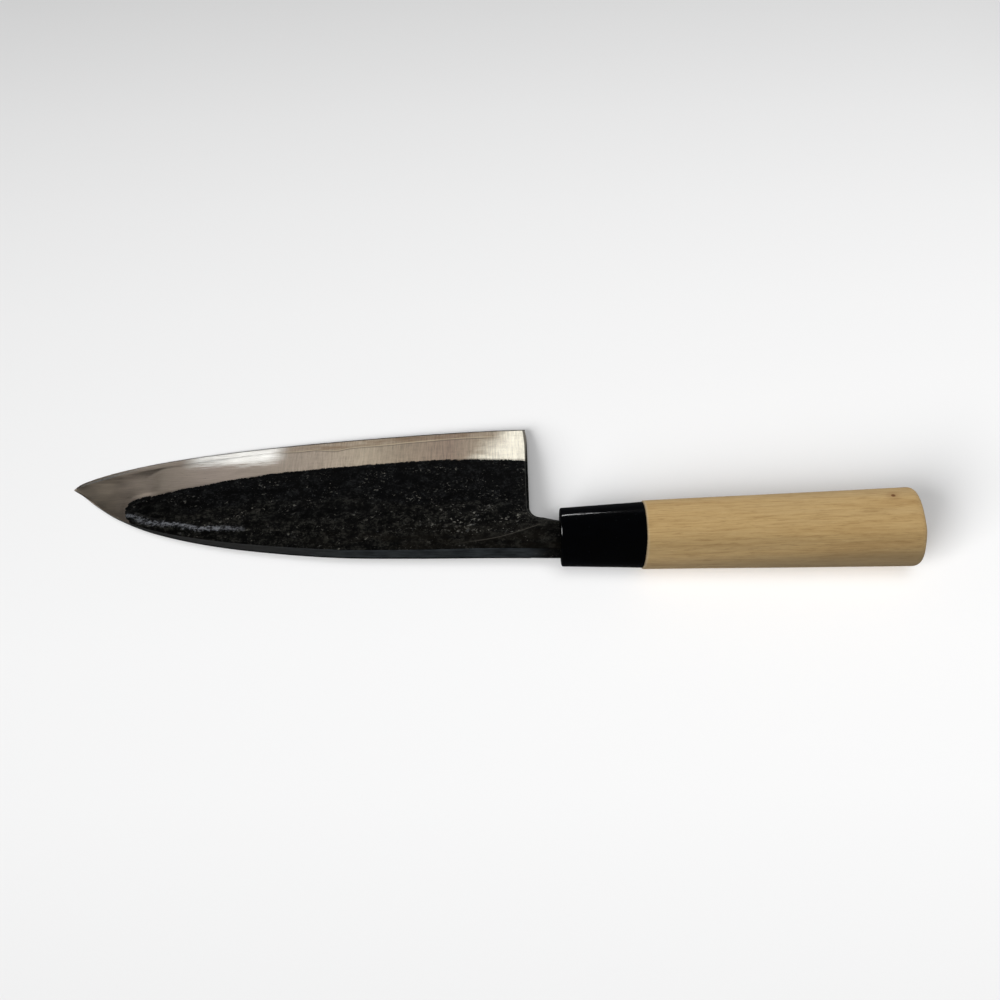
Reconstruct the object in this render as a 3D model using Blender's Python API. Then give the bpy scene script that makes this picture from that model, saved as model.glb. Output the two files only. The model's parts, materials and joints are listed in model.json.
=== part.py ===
"""Forge-black single-bevel knife of the deba kind, right-handed, lying on its back face.

Knife frame, which every shape below is drawn in before the rest pose turns it:
  x runs along the handle, from the mouth of the ferrule (0) towards the butt,
  y runs from the spine towards the cutting edge,
  z runs from the flat back face (0) towards the ground front face.
The rest pose then lays the knife on a level surface, and the origin ends up at the
middle of the bottom of its bounding box.
"""
from math import cos, exp, pi, radians, sin

import bmesh
import bpy
from mathutils import Matrix, Vector

MM = 0.001
GAP = 0.3 * MM                  # clearance kept between two touching pieces

# Blade outline, drawn by hand as (x, y) points that a smooth curve runs through, in mm.
HEEL_X = -10.3
TIP_X = -167.0
EDGE_LINE = [(HEEL_X, 46.9), (-22.0, 46.9), (-45.0, 46.1), (-80.0, 44.0), (-110.0, 41.3),
             (-135.0, 37.9), (-152.0, 34.2), (-161.0, 31.2), (-165.3, 29.1), (TIP_X, 27.3)]
SPINE_LINE = [(0.0, -6.0), (-20.0, -5.2), (-50.0, -4.4), (-75.0, -3.2), (-100.0, -0.2),
              (-120.0, 3.5), (-138.0, 8.8), (-150.0, 14.5), (-158.0, 20.0), (-163.5, 24.6),
              (TIP_X, 27.0)]
RIDGE_LINE = [(HEEL_X, 31.1), (-35.0, 32.5), (-60.0, 31.8), (-90.0, 29.9), (-102.0, 28.9),
              (-115.0, 26.9), (-135.0, 23.4), (-146.0, 20.6), (-157.0, 24.0), (TIP_X, 27.15)]

# Thickness along the blade, as (x, z) points in mm: at the spine and at the bevel's ridge.
SPINE_THICKNESS = [(0.0, 6.4), (-30.0, 6.0), (-60.0, 5.5), (-80.0, 5.2), (-100.0, 4.6),
                   (-120.0, 3.6), (-138.0, 2.0), (-147.0, 1.3), (-158.0, 0.7), (TIP_X, 0.3)]
RIDGE_THICKNESS = [(HEEL_X, 3.9), (-60.0, 3.6), (-100.0, 3.1), (-125.0, 2.5), (-140.0, 2.0),
                   (-150.0, 1.4), (-158.0, 0.8), (TIP_X, 0.2)]
SHOULDER_WIDTH = 4.5            # mm, how far the spine's rounded shoulder reaches into the face
SHOULDER_SHARE = 0.45           # of the face's height, its limit near the tip
CROWN = 0.08                    # mm, how far the shoulder stands proud of a flat face
CROWN_NEAR_TIP = 0.3            # mm more, where the forged face rolls over to the tip
CROWN_X = -132.0
CROWN_SPREAD = 14.0
BLADE_STATIONS = 28

STEEL_THICKNESS = 0.8 * MM      # hard edge layer, welded to the back of the blade
NECK_TOP_Y = 7.0                # mm, edge side of the neck where the heel's fillet ends
HEEL_FILLET = 3.2               # mm, round between the heel and the neck
FILLET_STEPS = 8
WEB_OVERLAP = 3.4               # mm, how far the fillet's web runs into the blade
WEB_NECK_OVERLAP = 0.05         # mm, and into the neck
WEB_SINK = 0.05                 # mm, how far it lies below the faces it runs into

# Neck and tang sections in mm: x, lowest y, highest y, lowest z, highest z.
MOUTH_SECTION = (0.0, -6.0, 5.1, 0.0, 6.4)
TANG_SECTIONS = [(HEEL_X + HEEL_FILLET, -5.8, NECK_TOP_Y, 0.0, 6.3), MOUTH_SECTION,
                 (1.5, -6.0, 5.0, 0.0, 6.4), (5.0, -5.0, 4.4, 0.5, 5.7),
                 (60.0, -3.2, 3.0, 1.2, 5.0), (86.0, -1.6, 1.6, 1.9, 4.3)]

# Handle: an oval that widens towards the butt, with a soft ridge on the front face.
AXIS_Y = 0.35
AXIS_Z = 3.1                    # mm, the handle's middle lies on the tang's middle
FERRULE_LENGTH = 27.5
BUTT_X = 117.6
FERRULE_HALF_WIDTHS = (10.1, 11.35)     # mouth, rear
GRIP_HALF_WIDTHS = (11.8, 13.6)          # behind the ferrule, at the butt
OVAL_RATIO = 0.85               # half thickness over half width
RIDGE_ANGLE = radians(124.0)    # from the edge side, over the front face
RIDGE_SPREAD = radians(17.0)
RIDGE_HEIGHT = 0.06             # of the oval's radius
OVAL_SIDES = 40
FERRULE_WALL = 1.7
SEAL_FRONT = 0.9
SEAL_LENGTH = 2.8
LIP_ROUND = 0.6
BUTT_ROUND = 3.2
ROUND_STEPS = 5

# Rest pose: the knife dips towards the tip and rolls a little edge-down, until the edge
# near the tip and the underside of the grip touch the surface on either side of its balance.
REST_ROLL = radians(-3.83)
REST_PITCH = radians(-1.475)


def clear_scene():
    """Remove the objects that the scene starts with."""
    for obj in list(bpy.data.objects):
        bpy.data.objects.remove(obj, do_unlink=True)


def make_material(name, colour, roughness, metallic):
    """A Principled material of one colour."""
    material = bpy.data.materials.new(name)
    material.use_nodes = True
    shader = material.node_tree.nodes["Principled BSDF"]
    shader.inputs["Base Color"].default_value = (*colour, 1.0)
    shader.inputs["Roughness"].default_value = roughness
    shader.inputs["Metallic"].default_value = metallic
    material.diffuse_color = (*colour, 1.0)
    return material


def smooth_value(points, x):
    """Height at x of the smooth curve through (x, y) points, which run in either direction."""
    knots = sorted(points)
    last = len(knots) - 1
    slopes = []
    for i in range(last + 1):
        before = knots[max(i - 1, 0)]
        after = knots[min(i + 1, last)]
        slopes.append((after[1] - before[1]) / (after[0] - before[0]))
    span = 0
    while span < last - 1 and x > knots[span + 1][0]:
        span += 1
    x0, y0 = knots[span]
    x1, y1 = knots[span + 1]
    width = x1 - x0
    t = (x - x0) / width
    rise = (2 * t ** 3 - 3 * t ** 2 + 1) * y0 + (3 * t ** 2 - 2 * t ** 3) * y1
    bend = (t ** 3 - 2 * t ** 2 + t) * slopes[span] + (t ** 3 - t ** 2) * slopes[span + 1]
    return rise + bend * width


def loft(rings, closed=False):
    """A closed skin through rings of equal point counts: capped ends, or a ring of rings."""
    mesh = bmesh.new()
    loops = [[mesh.verts.new(Vector(point) * MM) for point in ring] for ring in rings]
    pairs = list(zip(loops, loops[1:]))
    if closed:
        pairs.append((loops[-1], loops[0]))
    else:
        mesh.faces.new(loops[0])
        mesh.faces.new(loops[-1])
    sides = len(rings[0])
    for near, far in pairs:
        for i in range(sides):
            j = (i + 1) % sides
            mesh.faces.new((near[i], near[j], far[j], far[i]))
    bmesh.ops.recalc_face_normals(mesh, faces=mesh.faces)
    return mesh


def add_object(name, mesh, parent, material=None, sharp_angle=30.0):
    """Make an object from a bmesh, in the knife frame under the rest pose."""
    data = bpy.data.meshes.new(name)
    mesh.to_mesh(data)
    mesh.free()
    obj = bpy.data.objects.new(name, data)
    bpy.context.scene.collection.objects.link(obj)
    obj.parent = parent
    if material:
        data.materials.append(material)
        data.shade_smooth()
        data.set_sharp_from_angle(angle=radians(sharp_angle))
    else:
        obj.hide_render = True
        obj.display_type = 'WIRE'
    return obj


def add_boolean(obj, other, operation):
    """Join, cut or keep with another object, by an exact Boolean."""
    modifier = obj.modifiers.new(other.name, 'BOOLEAN')
    modifier.object = other
    modifier.operation = operation
    modifier.solver = 'EXACT'


def box_mesh(low, high):
    """A box between two corners given in mm."""
    mesh = bmesh.new()
    bmesh.ops.create_cube(mesh, size=1.0)
    size = Vector(high) - Vector(low)
    middle = (Vector(high) + Vector(low)) / 2
    bmesh.ops.scale(mesh, vec=size * MM, verts=mesh.verts)
    bmesh.ops.translate(mesh, vec=middle * MM, verts=mesh.verts)
    return mesh


def blade_section(x):
    """The blade's section at x: back face, spine, rounded shoulder, bevel ridge, edge."""
    spine = smooth_value(SPINE_LINE, x)
    edge = smooth_value(EDGE_LINE, x)
    ridge = smooth_value(RIDGE_LINE, x)
    spine_z = smooth_value(SPINE_THICKNESS, x)
    ridge_z = smooth_value(RIDGE_THICKNESS, x)
    shoulder = spine + min(SHOULDER_WIDTH, SHOULDER_SHARE * (ridge - spine))
    along = (shoulder - spine) / (ridge - spine)
    thinness = spine_z / SPINE_THICKNESS[0][1]
    crown = CROWN * thinness + CROWN_NEAR_TIP * exp(-((x - CROWN_X) / CROWN_SPREAD) ** 2)
    shoulder_z = spine_z + (ridge_z - spine_z) * along + crown
    return [(x, spine, 0.0), (x, spine, spine_z), (x, shoulder, shoulder_z),
            (x, ridge, ridge_z), (x, edge, 0.0)]


def blade_mesh():
    """The whole blade from heel to tip, with closer sections near the tip."""
    stations = []
    for i in range(BLADE_STATIONS):
        share = sin(pi / 2 * i / (BLADE_STATIONS - 1))
        stations.append(HEEL_X + (TIP_X - HEEL_X) * share)
    return loft([blade_section(x) for x in stations])


def web_mesh():
    """The fillet that carries the heel over into the neck, as thick as the blade's face."""
    inside_x = HEEL_X - WEB_OVERLAP
    centre_x = HEEL_X + HEEL_FILLET
    centre_y = NECK_TOP_Y + HEEL_FILLET
    far_x = centre_x + WEB_NECK_OVERLAP
    outline = [(inside_x, smooth_value(SPINE_LINE, inside_x) + WEB_SINK),
               (HEEL_X, smooth_value(SPINE_LINE, HEEL_X)),
               (far_x, smooth_value(SPINE_LINE, far_x)), (far_x, NECK_TOP_Y)]
    for i in range(FILLET_STEPS + 1):
        angle = pi / 2 * i / FILLET_STEPS
        outline.append((centre_x - HEEL_FILLET * sin(angle), centre_y - HEEL_FILLET * cos(angle)))
    outline.append((inside_x, centre_y))
    heel_ring = blade_section(HEEL_X)
    spine_y, spine_z = heel_ring[1][1], heel_ring[1][2]
    fall = (heel_ring[3][2] - spine_z) / (heel_ring[3][1] - spine_y)
    bottom = [(x, y, 0.0) for x, y in outline]
    top = [(x, y, spine_z + fall * (y - spine_y) - WEB_SINK) for x, y in outline]
    return loft([bottom, top])


def block_ring(section, grow=0.0):
    """A rectangular section of the neck or tang, grown all round for a clearance."""
    x, low_y, high_y, low_z, high_z = section
    low_y, high_y = low_y - grow, high_y + grow
    low_z, high_z = low_z - grow, high_z + grow
    return [(x, low_y, low_z), (x, high_y, low_z), (x, high_y, high_z), (x, low_y, high_z)]


def tang_clearance_mesh():
    """The hole that the neck and tang sit in, a little larger than they are."""
    grow = GAP / MM
    rings = [block_ring((-1.0, *MOUTH_SECTION[1:]), grow)]
    rings += [block_ring(section, grow) for section in TANG_SECTIONS[1:]]
    tail = TANG_SECTIONS[-1]
    rings.append(block_ring((tail[0] + 1.0, *tail[1:]), grow))
    return loft(rings)


def oval_ring(x, half_width, inset=0.0):
    """One section of the ferrule or grip: an oval with the soft ridge of the front face."""
    half_thickness = half_width * OVAL_RATIO
    ring = []
    for i in range(OVAL_SIDES):
        angle = 2 * pi * i / OVAL_SIDES
        away = (angle - RIDGE_ANGLE) / RIDGE_SPREAD
        swell = 1.0 + RIDGE_HEIGHT * exp(-away ** 2)
        y = AXIS_Y + (half_width * swell - inset) * cos(angle)
        z = AXIS_Z + (half_thickness * swell - inset) * sin(angle)
        ring.append((x, y, z))
    return ring


def between(pair, start_x, end_x, x):
    """Half width at x of a piece that tapers straight from one end to the other."""
    return pair[0] + (pair[1] - pair[0]) * (x - start_x) / (end_x - start_x)


def ferrule_width(x):
    return between(FERRULE_HALF_WIDTHS, 0.0, FERRULE_LENGTH, x)


def grip_width(x):
    return between(GRIP_HALF_WIDTHS, FERRULE_LENGTH, BUTT_X, x)


def rounded_rings(end_x, direction, width_at, radius):
    """Rings that round an end over, from the side to the end face."""
    rings = []
    for i in range(ROUND_STEPS + 1):
        angle = pi / 2 * i / ROUND_STEPS
        x = end_x - direction * radius * (1 - sin(angle))
        rings.append(oval_ring(x, width_at(x), radius * (1 - cos(angle))))
    return rings


def ferrule_mesh():
    """An open collar with a rounded mouth and a bore that follows its outside."""
    mouth = rounded_rings(0.0, -1, ferrule_width, LIP_ROUND)
    rear_x = FERRULE_LENGTH - GAP / MM
    outer = mouth[::-1] + [oval_ring(rear_x, ferrule_width(rear_x))]
    inner = [oval_ring(rear_x, ferrule_width(rear_x), FERRULE_WALL),
             oval_ring(0.0, ferrule_width(0.0), FERRULE_WALL)]
    return loft(outer + inner, closed=True)


def handle_mesh():
    """Grip with a rounded butt and a thinner spigot that fills the ferrule."""
    spigot_inset = FERRULE_WALL + GAP / MM
    spigot_front = SEAL_FRONT + SEAL_LENGTH + GAP / MM
    rings = [oval_ring(spigot_front, ferrule_width(spigot_front), spigot_inset),
             oval_ring(FERRULE_LENGTH, ferrule_width(FERRULE_LENGTH), spigot_inset),
             oval_ring(FERRULE_LENGTH, grip_width(FERRULE_LENGTH), LIP_ROUND),
             oval_ring(FERRULE_LENGTH + 0.3 * LIP_ROUND, grip_width(FERRULE_LENGTH),
                       0.25 * LIP_ROUND),
             oval_ring(FERRULE_LENGTH + LIP_ROUND, grip_width(FERRULE_LENGTH + LIP_ROUND))]
    butt = rounded_rings(BUTT_X, 1, grip_width, BUTT_ROUND)
    return loft(rings + butt)


def seal_mesh():
    """The resin plug that closes the mouth of the ferrule round the neck."""
    inset = FERRULE_WALL + GAP / MM
    rings = []
    for x in (SEAL_FRONT, SEAL_FRONT + SEAL_LENGTH):
        rings.append(oval_ring(x, ferrule_width(x), inset))
    return loft(rings)


def build_blade(parent):
    """Soft-iron body with neck and tang, and the hard edge layer on its back."""
    scale = make_material("forge_black_iron", (0.012, 0.012, 0.014), 0.55, 0.8)
    steel = make_material("ground_edge_steel", (0.42, 0.39, 0.35), 0.34, 1.0)
    body = add_object("blade_body", blade_mesh(), parent, scale)
    web = add_object("heel_web", web_mesh(), parent)
    tang = add_object("neck_and_tang", loft([block_ring(s) for s in TANG_SECTIONS]), parent)
    layer_top = STEEL_THICKNESS / MM
    far_x = TIP_X - 5.0
    pocket = add_object("steel_pocket", box_mesh((far_x, -12.0, -2.0),
                        (HEEL_X + GAP / MM, 55.0, layer_top + GAP / MM)), parent)
    slab = add_object("steel_slab", box_mesh((far_x, -12.0, -2.0),
                      (HEEL_X + 1.0, 55.0, layer_top)), parent)
    add_boolean(body, web, 'UNION')
    add_boolean(body, tang, 'UNION')
    add_boolean(body, pocket, 'DIFFERENCE')
    layer = add_object("edge_steel", blade_mesh(), parent, steel)
    add_boolean(layer, slab, 'INTERSECT')
    return [body, layer]


def build_handle(parent):
    """Ferrule, wooden grip and the resin seal, all clear of the tang."""
    plastic = make_material("black_plastic", (0.006, 0.006, 0.007), 0.16, 0.0)
    wood = make_material("pale_magnolia_wood", (0.48, 0.37, 0.21), 0.6, 0.0)
    resin = make_material("dark_resin", (0.02, 0.017, 0.015), 0.5, 0.0)
    clearance = add_object("tang_clearance", tang_clearance_mesh(), parent)
    ferrule = add_object("ferrule", ferrule_mesh(), parent, plastic)
    grip = add_object("handle", handle_mesh(), parent, wood)
    seal = add_object("tang_seal", seal_mesh(), parent, resin)
    add_boolean(grip, clearance, 'DIFFERENCE')
    add_boolean(seal, clearance, 'DIFFERENCE')
    return [ferrule, grip, seal]


def lay_down(pose, pieces):
    """Turn the knife into its rest pose and put the origin under the middle of its box."""
    turn = Matrix.Rotation(REST_PITCH, 4, 'Y') @ Matrix.Rotation(REST_ROLL, 4, 'X')
    pose.matrix_world = turn
    bpy.context.view_layer.update()
    graph = bpy.context.evaluated_depsgraph_get()
    corners = []
    for piece in pieces:
        shape = piece.evaluated_get(graph)
        corners += [shape.matrix_world @ vertex.co for vertex in shape.data.vertices]
    low = Vector([min(corner[i] for corner in corners) for i in range(3)])
    high = Vector([max(corner[i] for corner in corners) for i in range(3)])
    foot = Vector(((low.x + high.x) / 2, (low.y + high.y) / 2, low.z))
    pose.matrix_world = Matrix.Translation(-foot) @ turn
    bpy.context.view_layer.update()


def main():
    clear_scene()
    pose = bpy.data.objects.new("rest_pose", None)
    bpy.context.scene.collection.objects.link(pose)
    pieces = build_blade(pose) + build_handle(pose)
    lay_down(pose, pieces)


main()
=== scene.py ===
import json
from math import cos, pi, radians, sin

import bmesh
import bpy
import numpy as np
from mathutils import Matrix, Vector, noise


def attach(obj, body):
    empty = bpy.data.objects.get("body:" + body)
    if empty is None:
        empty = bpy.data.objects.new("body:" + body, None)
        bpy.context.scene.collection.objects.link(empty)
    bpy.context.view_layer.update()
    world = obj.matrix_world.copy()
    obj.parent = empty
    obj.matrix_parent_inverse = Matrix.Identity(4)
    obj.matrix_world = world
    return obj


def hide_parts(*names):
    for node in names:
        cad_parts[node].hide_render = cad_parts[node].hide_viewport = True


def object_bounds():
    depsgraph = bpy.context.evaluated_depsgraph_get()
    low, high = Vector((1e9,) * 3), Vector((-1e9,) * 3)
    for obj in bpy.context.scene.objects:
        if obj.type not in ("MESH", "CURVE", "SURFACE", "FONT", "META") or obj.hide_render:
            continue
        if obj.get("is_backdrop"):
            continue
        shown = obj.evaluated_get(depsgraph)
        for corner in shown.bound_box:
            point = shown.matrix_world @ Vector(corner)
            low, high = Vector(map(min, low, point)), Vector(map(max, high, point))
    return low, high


# Looks of a forge-black, single-bevel knife of the deba kind. Every piece is drawn in the
# knife's own frame, in mm: x from the ferrule's mouth (0) to the butt, y from the spine to
# the cutting edge, z from the flat back (0) to the ground front. It is then laid in place.

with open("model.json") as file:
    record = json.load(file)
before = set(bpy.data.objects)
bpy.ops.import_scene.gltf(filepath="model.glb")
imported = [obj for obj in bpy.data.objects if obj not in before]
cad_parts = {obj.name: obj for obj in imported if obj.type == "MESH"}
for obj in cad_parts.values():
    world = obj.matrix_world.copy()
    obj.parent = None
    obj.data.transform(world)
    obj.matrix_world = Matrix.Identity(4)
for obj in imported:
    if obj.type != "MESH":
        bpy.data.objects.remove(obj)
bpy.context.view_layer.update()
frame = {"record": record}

MM = 0.001
HEEL_X = -10.3
TIP_X = -167.0
EDGE_LINE = [(HEEL_X, 46.9), (-22.0, 46.9), (-45.0, 46.1), (-80.0, 44.0), (-110.0, 41.3),
             (-135.0, 37.9), (-152.0, 34.2), (-161.0, 31.2), (-165.3, 29.1), (TIP_X, 27.3)]
SPINE_LINE = [(0.0, -6.0), (-20.0, -5.2), (-50.0, -4.4), (-75.0, -3.2), (-100.0, -0.2),
              (-120.0, 3.5), (-138.0, 8.8), (-150.0, 14.5), (-158.0, 20.0), (-163.5, 24.6),
              (TIP_X, 27.0)]
RIDGE_LINE = [(HEEL_X, 31.1), (-35.0, 32.5), (-60.0, 31.8), (-90.0, 29.9), (-102.0, 28.9),
              (-115.0, 26.9), (-135.0, 23.4), (-146.0, 20.6), (-157.0, 24.0), (TIP_X, 27.15)]
SPINE_THICKNESS = [(0.0, 6.4), (-30.0, 6.0), (-60.0, 5.5), (-80.0, 5.2), (-100.0, 4.6),
                   (-120.0, 3.6), (-138.0, 2.0), (-147.0, 1.3), (-158.0, 0.7), (TIP_X, 0.3)]
RIDGE_THICKNESS = [(HEEL_X, 3.9), (-60.0, 3.6), (-100.0, 3.1), (-125.0, 2.5), (-140.0, 2.0),
                   (-150.0, 1.4), (-158.0, 0.8), (TIP_X, 0.2)]
LAMINATION_LINE = [(HEEL_X, 43.9), (-23.0, 43.8), (-35.0, 43.5), (-44.0, 42.9), (-53.5, 42.2),
                   (-58.0, 41.7), (-66.0, 41.2), (-72.0, 40.8), (-77.0, 39.7), (-84.0, 40.5),
                   (-90.0, 40.0), (-97.0, 39.9), (-115.0, 38.1), (-135.0, 35.4),
                   (-152.0, 32.2), (-161.0, 29.7), (TIP_X, 27.2)]
NECK_CREASE = [(-42.0, -3.4), (-31.5, -2.5), (-20.3, -0.8), (-10.3, 2.4), (-5.0, 4.4),
               (0.0, 5.6)]
STEEL_THICKNESS = 0.8
WELD_GAP = 0.01
EDGE_LAND = 0.35
EDGE_THICKNESS = 0.22
BACK_HOLLOW = 0.22
SHOULDER_WIDTH = 4.5
CROWN = 0.1
CROWN_NEAR_TIP = 0.42
HEEL_LEAN = 0.55
NECK_TOP_Y = 7.0
NECK_CHAMFER = 0.55
FILLET = 4.3
NECK_HEIGHT = 6.3
# Sections of the neck and tang: x, then low and high y, then low and high z.
NECK_SECTIONS = [(0.0, -6.0, 5.1, 0.0, 6.4), (1.5, -6.0, 5.0, 0.0, 6.4),
                 (5.0, -5.0, 4.4, 0.5, 5.7), (60.0, -3.2, 3.0, 1.2, 5.0),
                 (86.0, -1.6, 1.6, 1.9, 4.3)]
# The front end of the forge scale, where the grind wraps round to the spine.
SCALE_NOSE = [(-140.2, 22.5), (-143.2, 21.9), (-145.4, 21.1), (-147.0, 19.8), (-147.7, 17.8),
              (-147.6, 16.0), (-146.9, 14.0), (-145.6, 12.2), (-143.4, 9.5)]

# A swelling behind the nose of the scale, which the finish paints with a sheen, and the crease
# beside it.
NOSE_SWELL = [(-146.5, 15.1), (-138.0, 11.2), (-131.0, 10.3), (-121.0, 7.6), (-106.0, 6.9)]
NOSE_CREASE = [(-143.5, 16.2), (-138.6, 14.1), (-133.6, 12.3)]

AXIS_Y = 0.35
AXIS_Z = 3.1
FERRULE_LENGTH = 27.5
BUTT_X = 117.6
FERRULE_HALF_WIDTHS = (10.1, 11.35)
GRIP_HALF_WIDTHS = (11.8, 13.6)
OVAL_RATIO = 0.85
RIDGE_ANGLE = radians(124.0)
RIDGE_SPREAD = radians(17.0)
RIDGE_HEIGHT = 0.06
FERRULE_WALL = 1.7
JOINT_SLANT = 0.1
JOINT_TOP_Z = 12.6
SPIGOT_X = 4.2
HOLE_BEND_X = 60.0
HOLE_END_X = 87.0
HOLE_CLEARANCE = 0.2
SEAL_FRONT_X = 0.9
SEAL_BACK_X = 3.7
SIDES = 144
SMOOTH_ANGLE = radians(32.0)
# On a round bar of radius 1, what is farther out than this is on its outside.
OUTSIDE = 0.99

COLUMNS = 262
HEEL_COLUMNS = (0.9, 0.42, 0.0)
FILLET_STEPS = 10
NECK_STEPS = 8
FACE_ROWS = 58
FILLET_ROW = 27
BEVEL_ROWS = 22
IRON_ROWS = FACE_ROWS + BEVEL_ROWS
STEEL_BACK_ROWS = 34
STEEL_EDGE_ROWS = 9


def knife_place(record):
    """Matrix that lays the knife frame, in mm, where the part's two mounts say."""
    mounts = {mount["name"]: mount for mount in record["mounts"]}
    along = Vector(mounts["butt_end"]["axis"]).normalized()
    up = -Vector(mounts["back_face"]["axis"]).normalized()
    across = up.cross(along).normalized()
    start = Vector(mounts["butt_end"]["pos_m"])
    start -= (along * BUTT_X + across * AXIS_Y + up * AXIS_Z) * MM
    turn = Matrix((along, across, up)).transposed().to_4x4()
    return Matrix.Translation(start) @ turn @ Matrix.Scale(MM, 4)


KNIFE = knife_place(frame["record"])


def curve(points, x):
    """Heights at x of the smooth curve through (x, y) points, for an array of x."""
    knots = np.array(sorted(points))
    kx, ky = knots[:, 0], knots[:, 1]
    order = np.arange(len(kx))
    before, after = np.maximum(order - 1, 0), np.minimum(order + 1, len(kx) - 1)
    slopes = (ky[after] - ky[before]) / (kx[after] - kx[before])
    x = np.asarray(x, float)
    span = np.clip(np.searchsorted(kx, x) - 1, 0, len(kx) - 2)
    width = kx[span + 1] - kx[span]
    t = np.clip((x - kx[span]) / width, 0.0, 1.0)
    rise = (2 * t ** 3 - 3 * t ** 2 + 1) * ky[span] + (3 * t ** 2 - 2 * t ** 3) * ky[span + 1]
    bend = (t ** 3 - 2 * t ** 2 + t) * slopes[span] + (t ** 3 - t ** 2) * slopes[span + 1]
    return rise + bend * width


def ease(low, high, x):
    """0 below low, 1 above high, and smooth between."""
    t = np.clip((np.asarray(x, float) - low) / (high - low), 0.0, 1.0)
    return t * t * (3 - 2 * t)


def lumps(x, y, z, size, seed):
    """Smooth unevenness between about -1 and 1, the same on every run."""
    size = (size, size, size) if np.isscalar(size) else size
    found = [noise.noise(Vector((a / size[0] + seed, b / size[1] - seed, c / size[2])))
             for a, b, c in zip(np.ravel(x), np.ravel(y), np.ravel(z))]
    return np.array(found).reshape(np.shape(x)) * 1.6


def deselect():
    bpy.ops.object.select_all(action='DESELECT')


def begin(name):
    """Name the primitive that was just added."""
    piece = bpy.context.object
    piece.name = name
    piece.data.name = name
    return piece


def points_of(piece):
    """The mesh's points as an array, one row each."""
    flat = np.empty(len(piece.data.vertices) * 3)
    piece.data.vertices.foreach_get("co", flat)
    return flat.reshape(-1, 3)


def put_points(piece, points):
    piece.data.vertices.foreach_set("co", np.ascontiguousarray(points, float).ravel())
    piece.data.update()


def edit(piece):
    deselect()
    piece.select_set(True)
    bpy.context.view_layer.objects.active = piece
    bpy.ops.object.mode_set(mode='EDIT')
    bpy.ops.mesh.select_mode(type='FACE')


def leave_edit():
    bpy.ops.object.mode_set(mode='OBJECT')


def pick_faces(piece, test):
    """Select the faces whose middle and normal pass a test, in edit mode."""
    bpy.ops.mesh.select_mode(type='FACE')
    bpy.ops.mesh.select_all(action='DESELECT')
    shape = bmesh.from_edit_mesh(piece.data)
    for face in shape.faces:
        face.select_set(bool(test(face.calc_center_median(), face.normal)))
    bmesh.update_edit_mesh(piece.data)


def pick_edges(piece, test):
    """Select the edges whose two ends pass a test, in edit mode."""
    bpy.ops.mesh.select_mode(type='EDGE')
    bpy.ops.mesh.select_all(action='DESELECT')
    shape = bmesh.from_edit_mesh(piece.data)
    for line in shape.edges:
        line.select_set(bool(test(line.verts[0].co, line.verts[1].co)))
    bmesh.update_edit_mesh(piece.data)


def pick_outside_edges(piece, test):
    """Select the edges on the outside of a round bar whose ends' x pass a test."""
    pick_edges(piece, lambda a, b: test(a.x) and test(b.x)
               and a.yz.length > OUTSIDE and b.yz.length > OUTSIDE)


def extrude(x=0.0, z=0.0):
    bpy.ops.mesh.extrude_region_move(TRANSFORM_OT_translate={"value": (x, 0.0, z)})


def face_outwards(piece):
    edit(piece)
    bpy.ops.mesh.select_all(action='SELECT')
    bpy.ops.mesh.normals_make_consistent(inside=False)
    leave_edit()


def keep_value(piece, name, values):
    """Store one number per point, for the finish to read."""
    layer = piece.data.attributes.new(name, 'FLOAT', 'POINT')
    layer.data.foreach_set("value", np.asarray(values, np.float32))


def settle(piece, node, finish):
    """Lay a finished piece in its place and hide the CAD node it stands for."""
    piece.data.transform(KNIFE)
    piece.data.materials.clear()
    piece.data.materials.append(finish)
    deselect()
    piece.select_set(True)
    bpy.context.view_layer.objects.active = piece
    bpy.ops.object.shade_smooth_by_angle(angle=SMOOTH_ANGLE)
    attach(piece, "root")
    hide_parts(node)
    return piece


# ---------------------------------------------------------------- blade

def blank_sheet(name, columns, rows):
    """A flat blank whose points stand on whole numbers: column, row, level 0 over -1."""
    deselect()
    bpy.ops.mesh.primitive_grid_add(x_subdivisions=columns, y_subdivisions=rows, size=2.0)
    piece = begin(name)
    count = Matrix.Diagonal((columns / 2, rows / 2, 1.0, 1.0))
    piece.data.transform(count @ Matrix.Translation((1.0, 1.0, 0.0)))
    edit(piece)
    bpy.ops.mesh.select_all(action='SELECT')
    extrude(z=-1.0)
    bpy.ops.mesh.select_all(action='SELECT')
    bpy.ops.mesh.normals_make_consistent(inside=False)
    leave_edit()
    return piece


def column_places():
    """x of each column of the blade: closer together near the tip, then the heel's chamfer."""
    share = np.arange(COLUMNS - 1) / (COLUMNS - 2)
    share = share * (0.62 + 0.38 * share)
    body = TIP_X + (HEEL_X - HEEL_COLUMNS[0] - TIP_X) * share
    return np.concatenate([body, HEEL_X - np.array(HEEL_COLUMNS[1:])])


COLUMN_X = column_places()
FILLET_ANGLES = [pi / 2 * (1 - k / FILLET_STEPS) for k in range(1, FILLET_STEPS + 1)]
CENTRE_X = HEEL_X + FILLET
NECK_X = [HEEL_X + 0.03] + [CENTRE_X - FILLET * sin(a) for a in FILLET_ANGLES]
NECK_X += [CENTRE_X - CENTRE_X * k / NECK_STEPS for k in range(1, NECK_STEPS + 1)]
NECK_X += [section[0] for section in NECK_SECTIONS[1:]]


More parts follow.
